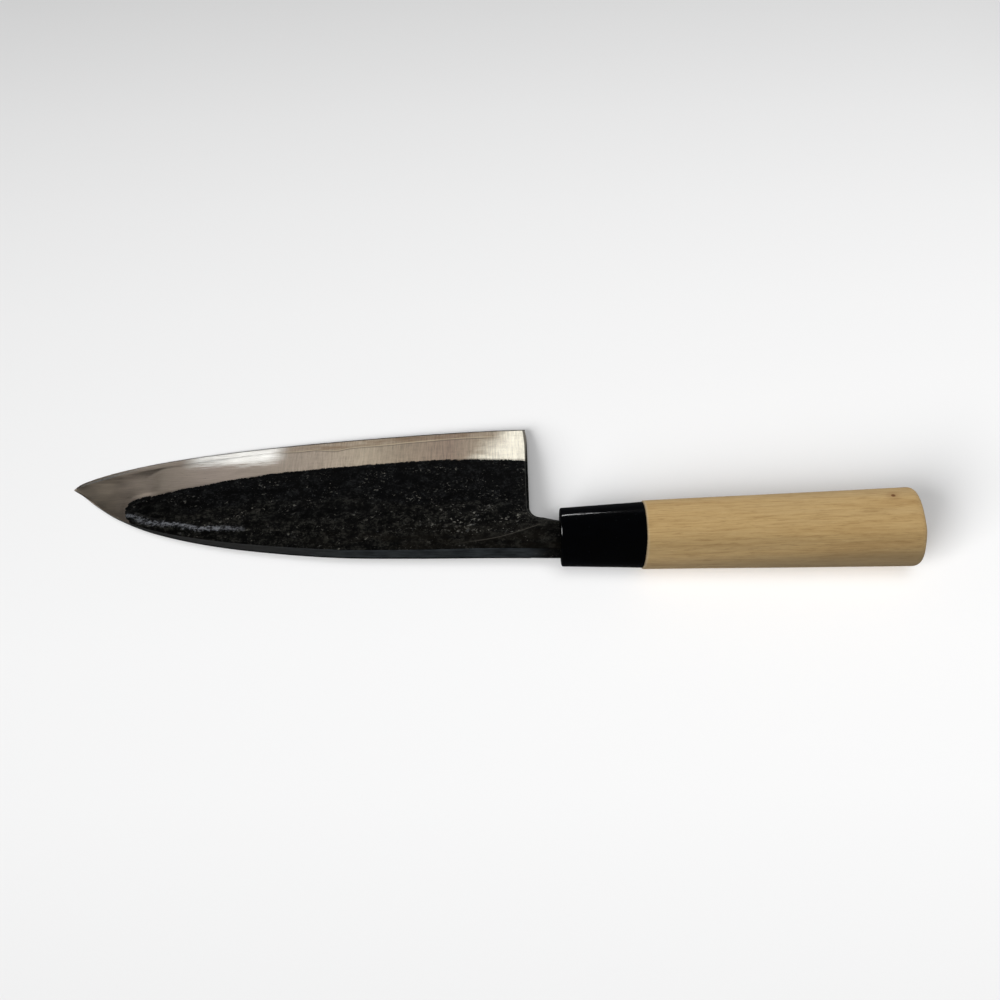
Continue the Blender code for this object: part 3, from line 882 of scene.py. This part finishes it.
def iron_finish():
    """Black forge scale with flaked spots and a painted sheen, a blue-grey spine of painted floor
    reflection, and the bare ground bevel.
    """
    mat = Finish("black_scale_iron")
    depth = mat.value("scale_depth")
    ragged = mat.fit(mat.grain(1.1, 5.0, 0.75), 0.25, 0.75, -0.42, 0.42)
    black = mat.fit(mat.math('ADD', depth, ragged), -0.06, 0.06)
    bare, bare_rough, lines, along, _ = ground_metal(mat)
    x, y = mat.axis("X"), mat.axis("Y")

    mottle = mat.blend(0.5, mat.grain((3.2, 2.4, 2.4), 4.0, 0.65),
                       mat.grain((1.0, 0.8, 0.8), 4.0, 0.7, shift=(5.0, 1.0, 0.0)))
    flake = flake_share(mat, depth, x, y)
    flake_tone = mat.ramp(mat.grain(1.1, 2.0, 0.5, shift=(9.0, 3.0, 0.0)),
                          [(0.35, shade(84, 86, 88)), (0.65, shade(160, 157, 146))])
    wear_and_sheen = mat.mix(flake, scale_tone(mat, mottle, x, y), flake_tone)

    # The swelling behind the nose, with a painted sheen.
    swell = mat.math('ADD', mat.value("swell_distance"), mat.fit(mottle, 0.35, 0.65, 0.8, -0.5))
    patches = mat.fit(mat.grain((1.1, 0.7, 0.7), 4.0, 0.6), 0.36, 0.62, 0.05, 0.85)
    swell = mat.product(mat.fit(swell, 1.5, 0.1), patches, mat.fit(x, -100.0, -116.0))
    wear_and_sheen = mat.mix(swell, wear_and_sheen, shade(176, 179, 186))

    # The blue-grey spine face: painted reflection of the pale floor, turning to neutral grey
    # towards the tip.
    spine_floor_reflection = mat.ramp(mat.grain((6.0, 1.2, 1.2), 4.0, 0.6),
                     [(0.3, shade(54, 59, 62)), (0.7, shade(99, 106, 110))])
    spine_floor_reflection = mat.mix(mat.fit(x, -60.0, -105.0, 0.0, 0.8), spine_floor_reflection, shade(92, 91, 88))
    side = mat.product(mat.fit(mat.value("spine_face"), 0.35, 0.75), mat.fit(x, -3.0, -14.0))
    wear_and_sheen = mat.mix(side, wear_and_sheen, spine_floor_reflection)

    # Lighter lines on the heel's corner and along its chamfer, and a painted highlight along the
    # crease beside the neck.
    near_heel = mat.value("heel_distance")
    corner = mat.math('MULTIPLY', mat.fit(near_heel, 0.16, 0.0), 0.7)
    chamfer = mat.math('MULTIPLY', mat.band(near_heel, 0.92, 0.16, 0.02), 0.5)
    wear_and_sheen = mat.mix(mat.math('MAXIMUM', corner, chamfer), wear_and_sheen, shade(104, 104, 100))
    crease = mat.product(mat.band(mat.value("crease_distance"), 0.15, 0.3, 0.08),
                         mat.fit(x, -36.0, -24.0, 0.0, 0.45), mat.fit(x, -5.5, -8.5))
    wear_and_sheen = mat.mix(crease, wear_and_sheen, shade(96, 92, 84))

    # The lamination line on the iron's side: dark, then pale.
    weld = mat.value("weld_distance")
    shown = mat.product(mat.fit(along, 0.95, 0.90), mat.fit(along, 0.40, 0.52))
    bare = mat.mix(mat.product(mat.band(weld, 0.55, 0.5, 0.1), shown, 0.65), bare, DARK_WELD)
    bare = mat.mix(mat.product(mat.fit(weld, 0.34, 0.1), shown, 0.8), bare, PALE_WELD)

    black_rough = mat.blend(flake, mat.fit(mottle, 0.3, 0.7, 0.34, 0.52), 0.5)
    crust = mat.math('ADD', mottle, mat.math('MULTIPLY', flake, -0.35))
    crust = mat.math('ADD', crust, mat.math('MULTIPLY', mat.grain(0.35, 3.0, 0.6), 0.3))
    height = mat.blend(black, mat.math('MULTIPLY', lines, 0.04), mat.math('MULTIPLY', crust, 0.5))
    mat.set(Base_Color=mat.mix(black, bare, wear_and_sheen),
            Metallic=mat.blend(black, 1.0, mat.blend(side, 0.25, 0.6)),
            Roughness=mat.blend(black, bare_rough, black_rough),
            Specular_IOR_Level=0.08, Normal=mat.bump(height, 0.09, 0.8))
    return mat.material


def steel_finish():
    """Ground steel: warm stain by the weld, dark line along the edge, satin hollow back."""
    mat = Finish("ground_hard_steel")
    bare, rough, lines, along, edge = ground_metal(mat)
    weld = mat.value("weld_distance")
    in_front = mat.fit(weld, 0.02, -0.02)
    patches = mat.fit(mat.grain((7.0, 1.6, 1.6), 4.0, 0.6), 0.3, 0.7)
    stain = mat.product(patches, in_front, mat.fit(along, 0.95, 0.88),
                        mat.fit(along, 0.42, 0.55), 0.85)
    colour = mat.mix(stain, bare, BROWN_STAIN)
    pale = mat.product(mat.fit(weld, -0.25, -0.05, 0.0, 0.5), in_front,
                       mat.fit(along, 0.95, 0.90), mat.fit(along, 0.40, 0.52))
    colour = mat.mix(pale, colour, PALE_WELD)
    bite = mat.math('MULTIPLY', mat.fit(edge, 0.6, 0.35), 0.75)
    colour = mat.mix(bite, colour, DARK_EDGE)

    brushed = mat.fit(mat.grain((0.25, 12.0, 12.0), 3.0, 0.6), 0.3, 0.7)
    hollow = mat.math('MULTIPLY', mat.fit(mat.value("hollow"), 0.02, 0.12), 0.45)
    satin = mat.mix(hollow, mat.mix(brushed, SATIN_LOW, SATIN_HIGH), HOLLOW_TONE)
    behind = mat.product(mat.fit(mat.axis("Z"), 0.32, 0.26), mat.fit(edge, 0.6, 1.2))
    colour = mat.mix(behind, colour, satin)
    # The steel's strip of the spine face is painted with the same blue-grey reflection of the
    # floor.
    side = mat.fit(mat.value("spine_face"), 0.05, 0.5)
    mat.set(Base_Color=mat.mix(side, colour, shade(40, 44, 48)),
            Metallic=mat.blend(side, 1.0, 0.5), Roughness=rough,
            Normal=mat.bump(mat.math('MULTIPLY', lines, 0.04), 0.09, 0.8))
    return mat.material


def ferrule_finish():
    """Glossy black moulding with fine dust, handling marks and a painted blue reflection."""
    mat = Finish("black_moulding")
    haze_and_reflection = mat.grain((8.0, 3.0, 3.0), 4.0, 0.6)
    # The blue tint mixed into the black is painted reflection; the same noise also sets the
    # roughness.
    colour = mat.mix(mat.fit(haze_and_reflection, 0.3, 0.7), shade(0, 0, 1), shade(2, 3, 7))
    dust = mat.product(mat.fit(mat.cells(1.7), 0.09, 0.05),
                       mat.fit(mat.grain(5.0, 2.0, 0.5), 0.5, 0.62))
    scratch = mat.grain((0.3, 6.0, 6.0), 3.0, 0.7, turn=radians(20.0))
    mat.set(Base_Color=mat.mix(dust, colour, shade(60, 64, 70)),
            Roughness=mat.fit(haze_and_reflection, 0.3, 0.7, 0.07, 0.13),
            Specular_IOR_Level=0.4, Normal=mat.bump(scratch, 0.01, 0.35))
    return mat.material


def wood_finish():
    """Unvarnished magnolia: straight fine grain, short pores, one pin knot near the butt, and
    painted shade by the spine.
    """
    mat = Finish("pale_magnolia")
    broad = mat.grain((70.0, 6.0, 9.0), 3.0, 0.55, shift=(0.3, 0.2, 0.5), turn=radians(2.0))
    fine = mat.grain((15.0, 0.62, 0.9), 6.0, 0.7, turn=radians(2.0))
    fleck = mat.grain((5.0, 0.5, 0.7), 3.0, 0.6, shift=(2.0, 7.0, 1.0), turn=radians(1.0))
    pore = mat.fit(mat.grain((3.4, 0.16, 0.2), 2.0, 0.5), 0.66, 0.74)
    colour = mat.ramp(broad, [(0.30, shade(184, 158, 116)), (0.5, shade(191, 163, 117)),
                              (0.7, shade(176, 146, 101))])
    colour = mat.mix(mat.fit(fine, 0.40, 0.70, 0.0, 0.5), colour, shade(150, 120, 78))
    colour = mat.mix(mat.fit(fleck, 0.52, 0.72, 0.0, 0.4), colour, shade(134, 104, 66))
    colour = mat.mix(mat.fit(fleck, 0.42, 0.28, 0.0, 0.35), colour, shade(206, 181, 138))
    colour = mat.mix(mat.math('MULTIPLY', pore, 0.35), colour, shade(110, 82, 52))

    # The pin knot, with a stained ring, and painted shade on the wood's side by the spine.
    knot = mat.add('ShaderNodeVectorMath', {"operation": 'DISTANCE'})
    mat.feed(knot.inputs[0], mat.place)
    mat.feed(knot.inputs[1], KNOT_PLACE)
    away = knot.outputs["Value"]
    colour = mat.mix(mat.fit(away, 0.95, 0.45), colour, shade(96, 62, 40))
    colour = mat.mix(mat.fit(away, 3.2, 0.8, 0.0, 0.3), colour, shade(140, 104, 70))
    # Painted shade on the side by the spine.
    colour = mat.mix(mat.fit(mat.axis("Y"), -10.6, -12.8, 0.0, 0.6), colour,
                     shade(128, 110, 80))

    # A paler rim where the wood meets the leaning joint.
    lean = mat.fit(mat.axis("Z"), GRIP_LOW_Z, JOINT_TOP_Z,
                   (GRIP_LOW_Z - JOINT_TOP_Z) * JOINT_SLANT, 0.0)
    from_joint = mat.math('SUBTRACT', mat.axis("X"), lean)
    rim = mat.fit(from_joint, FERRULE_LENGTH + 0.9, FERRULE_LENGTH + 0.2, 0.0, 0.25)
    colour = mat.mix(rim, colour, shade(200, 192, 176))
    relief = mat.math('SUBTRACT', mat.math('MULTIPLY', fine, 0.4),
                      mat.math('MULTIPLY', pore, 0.5))
    mat.set(Base_Color=colour, Roughness=mat.fit(fine, 0.3, 0.7, 0.5, 0.66),
            Specular_IOR_Level=0.35, Normal=mat.bump(relief, 0.06, 0.7))
    return mat.material


def resin_finish():
    """Dull dark resin, clouded."""
    mat = Finish("dull_resin")
    cloud = mat.grain(1.6, 4.0, 0.6)
    mat.set(Base_Color=mat.mix(mat.fit(cloud, 0.3, 0.7), shade(18, 15, 12), shade(36, 31, 26)),
            Roughness=mat.fit(cloud, 0.3, 0.7, 0.42, 0.6),
            Normal=mat.bump(cloud, 0.15, 0.6))
    return mat.material


# ---------------------------------------------------------------- studio

# The floor's painted light from its near side (0) to its far side (1), over this span of y, and
# how much of it is left at the two ends of this span of x. All in metres.
FLOOR_SIZE = 8.0
FLOOR_GAP = 0.00005
FLOOR_Y_SPAN = (-0.2, 0.3)
FLOOR_PAINTED_LIGHT = [(0.0, 0.76), (0.09, 0.816), (0.2, 0.877), (0.3, 0.907), (0.48, 0.918),
               (0.57, 0.917), (0.67, 0.897), (0.77, 0.859), (0.88, 0.793), (1.0, 0.71)]
FLOOR_X_SPAN = (-0.2, 0.2)
FLOOR_LIGHT_ACROSS = (0.815, 1.03)

WHITE = (1.0, 1.0, 1.0)
WARM = (1.0, 0.96, 0.86)
KNIFE_PIECES = ("iron", "steel", "ferrule", "grip", "seal")
# name, place, width, height, power, colour, surfaces it shows on, pieces it falls on
LAMPS = [
    ("key_front_left", (-1.1, -1.15, 1.1), 1.2, 1.2, 45.6, WHITE, "matt", ("floor",)),
    ("floor_wash", (0.25, -0.5, 2.3), 1.8, 1.8, 30.7, WHITE, "matt", ("floor",)),
    ("soft_above", (0.2, 1.5, 1.5), 1.2, 1.2, 22.0, WHITE, "matt", KNIFE_PIECES),
    ("grip_overhead", (0.09, -0.42, 1.55), 0.5, 0.5, 16.5, WARM, "matt", ("grip",)),
    ("bevel_card", (0.1, 1.9, 0.9), 2.4, 0.5, 9.6, WHITE, "gloss", ("iron", "steel", "seal")),
    ("panel_above", (0.0, -0.3, 2.2), 2.6, 1.8, 12.0, WHITE, "gloss", ("iron", "steel")),
    ("panel_front", (0.0, -2.0, 1.0), 3.0, 1.0, 7.0, WHITE, "gloss", ("iron", "steel")),
    ("panel_left", (-2.0, -0.4, 0.9), 1.6, 1.0, 4.0, WHITE, "gloss", ("iron", "steel")),
    ("panel_right", (2.0, -0.4, 0.9), 1.6, 1.0, 4.0, WHITE, "gloss", ("iron", "steel")),
    ("lip_card", (-1.12, 0.48, 0.44), 0.2, 0.66, 6.5, WHITE, "gloss", ("ferrule",)),
    ("mouth_card", (-0.1, 1.26, 0.475), 0.25, 0.042, 0.75, WHITE, "gloss", ("ferrule",))]
ROOM_COLOUR = (0.93, 0.96, 1.0, 1.0)
ROOM_STRENGTH = 0.035
WALL_TONE = 0.75

CAMERA_LENS = 48.0
CAMERA_SENSOR = 36.0
CAMERA_TARGET = (-20.06, 15.82, 3.0)
CAMERA_TURN = radians(-1.2)
CAMERA_RISE = radians(60.7)
CAMERA_DISTANCE = 0.45


def lay_floor():
    """A plain pale surface with painted light, brightest a little before its middle and darker to
    the left.
    """
    low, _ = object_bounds()
    deselect()
    bpy.ops.mesh.primitive_grid_add(x_subdivisions=8, y_subdivisions=8, size=FLOOR_SIZE,
                                    location=(0.0, 0.0, low[2] - FLOOR_GAP))
    floor = begin("floor")
    floor.data.transform(floor.matrix_world)
    floor.matrix_world = Matrix.Identity(4)
    paint = bpy.data.materials.new("pale_floor")
    paint.use_nodes = True
    nodes, links = paint.node_tree.nodes, paint.node_tree.links
    shader = nodes["Principled BSDF"]
    shader.inputs["Roughness"].default_value = 0.9
    shader.inputs["Specular IOR Level"].default_value = 0.1
    place = nodes.new('ShaderNodeTexCoord')
    split = nodes.new('ShaderNodeSeparateXYZ')
    links.new(place.outputs["Object"], split.inputs[0])
    far = nodes.new('ShaderNodeMapRange')
    across = nodes.new('ShaderNodeMapRange')
    for node, axis, span, shares in ((far, "Y", FLOOR_Y_SPAN, (0.0, 1.0)),
                                     (across, "X", FLOOR_X_SPAN, FLOOR_LIGHT_ACROSS)):
        links.new(split.outputs[axis], node.inputs["Value"])
        for name, value in zip(("From Min", "From Max", "To Min", "To Max"), span + shares):
            node.inputs[name].default_value = value
    ramp = nodes.new('ShaderNodeValToRGB')
    fill_band(ramp.color_ramp, [(position, grey(tone)) for position, tone in FLOOR_PAINTED_LIGHT])
    links.new(far.outputs[0], ramp.inputs["Fac"])
    scaled = nodes.new('ShaderNodeVectorMath')
    scaled.operation = 'SCALE'
    links.new(ramp.outputs["Color"], scaled.inputs[0])
    links.new(across.outputs[0], scaled.inputs["Scale"])
    links.new(scaled.outputs[0], shader.inputs["Base Color"])
    floor.data.materials.append(paint)
    floor.visible_glossy = False
    floor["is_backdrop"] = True
    return floor


def add_lamp(name, place, width, height, power, colour, surfaces, pieces):
    """A soft rectangular lamp aimed at the origin, for matt or for glossy surfaces only.

    It falls on the given pieces alone.
    """
    lamp = bpy.data.lights.new(name, 'AREA')
    lamp.shape = 'RECTANGLE'
    lamp.size = width
    lamp.size_y = height
    lamp.energy = power
    lamp.color = colour
    holder = bpy.data.objects.new(name, lamp)
    bpy.context.scene.collection.objects.link(holder)
    holder.location = place
    holder.rotation_euler = (-Vector(place)).to_track_quat('-Z', 'Y').to_euler()
    holder.visible_glossy = surfaces == "gloss"
    holder.visible_diffuse = surfaces == "matt"
    holder.visible_camera = False
    group = bpy.data.collections.new(name + "_on")
    for piece in pieces:
        group.objects.link(piece)
    holder.light_linking.receiver_collection = group


def light_studio(lit):
    """All the lamps, in a dim room that the camera sees as a pale wall."""
    for *settings, names in LAMPS:
        add_lamp(*settings, [lit[name] for name in names])
    world = bpy.data.worlds.new("pale_room")
    bpy.context.scene.world = world
    world.use_nodes = True
    nodes, links = world.node_tree.nodes, world.node_tree.links
    room = nodes["Background"]
    room.inputs["Color"].default_value = ROOM_COLOUR
    room.inputs["Strength"].default_value = ROOM_STRENGTH
    wall = nodes.new('ShaderNodeBackground')
    wall.inputs["Color"].default_value = grey(WALL_TONE)
    wall.inputs["Strength"].default_value = 1.0
    path = nodes.new('ShaderNodeLightPath')
    choose = nodes.new('ShaderNodeMixShader')
    links.new(path.outputs["Is Camera Ray"], choose.inputs[0])
    links.new(room.outputs[0], choose.inputs[1])
    links.new(wall.outputs[0], choose.inputs[2])
    links.new(choose.outputs[0], nodes["World Output"].inputs["Surface"])


def place_camera():
    """A camera above the spine side, aimed at the middle of the blade and handle."""
    camera = bpy.data.cameras.new("camera")
    camera.lens = CAMERA_LENS
    camera.sensor_width = CAMERA_SENSOR
    camera.clip_start = 0.01
    holder = bpy.data.objects.new("camera", camera)
    bpy.context.scene.collection.objects.link(holder)
    target = KNIFE @ Vector(CAMERA_TARGET)
    away = Vector((sin(CAMERA_TURN) * cos(CAMERA_RISE), -cos(CAMERA_TURN) * cos(CAMERA_RISE),
                   sin(CAMERA_RISE)))
    holder.location = target + away * CAMERA_DISTANCE
    holder.rotation_euler = (-away).to_track_quat('-Z', 'Y').to_euler()
    bpy.context.scene.camera = holder


iron = settle(forge_iron(), "blade_body", iron_finish())
steel = settle(forge_steel(), "edge_steel", steel_finish())
ferrule = settle(mould_ferrule(), "ferrule", ferrule_finish())
grip = settle(turn_grip(), "handle", wood_finish())
seal = settle(pour_seal(), "tang_seal", resin_finish())
light_studio({"iron": iron, "steel": steel, "ferrule": ferrule, "grip": grip, "seal": seal,
              "floor": lay_floor()})
place_camera()
bpy.context.scene.view_settings.view_transform = 'Standard'
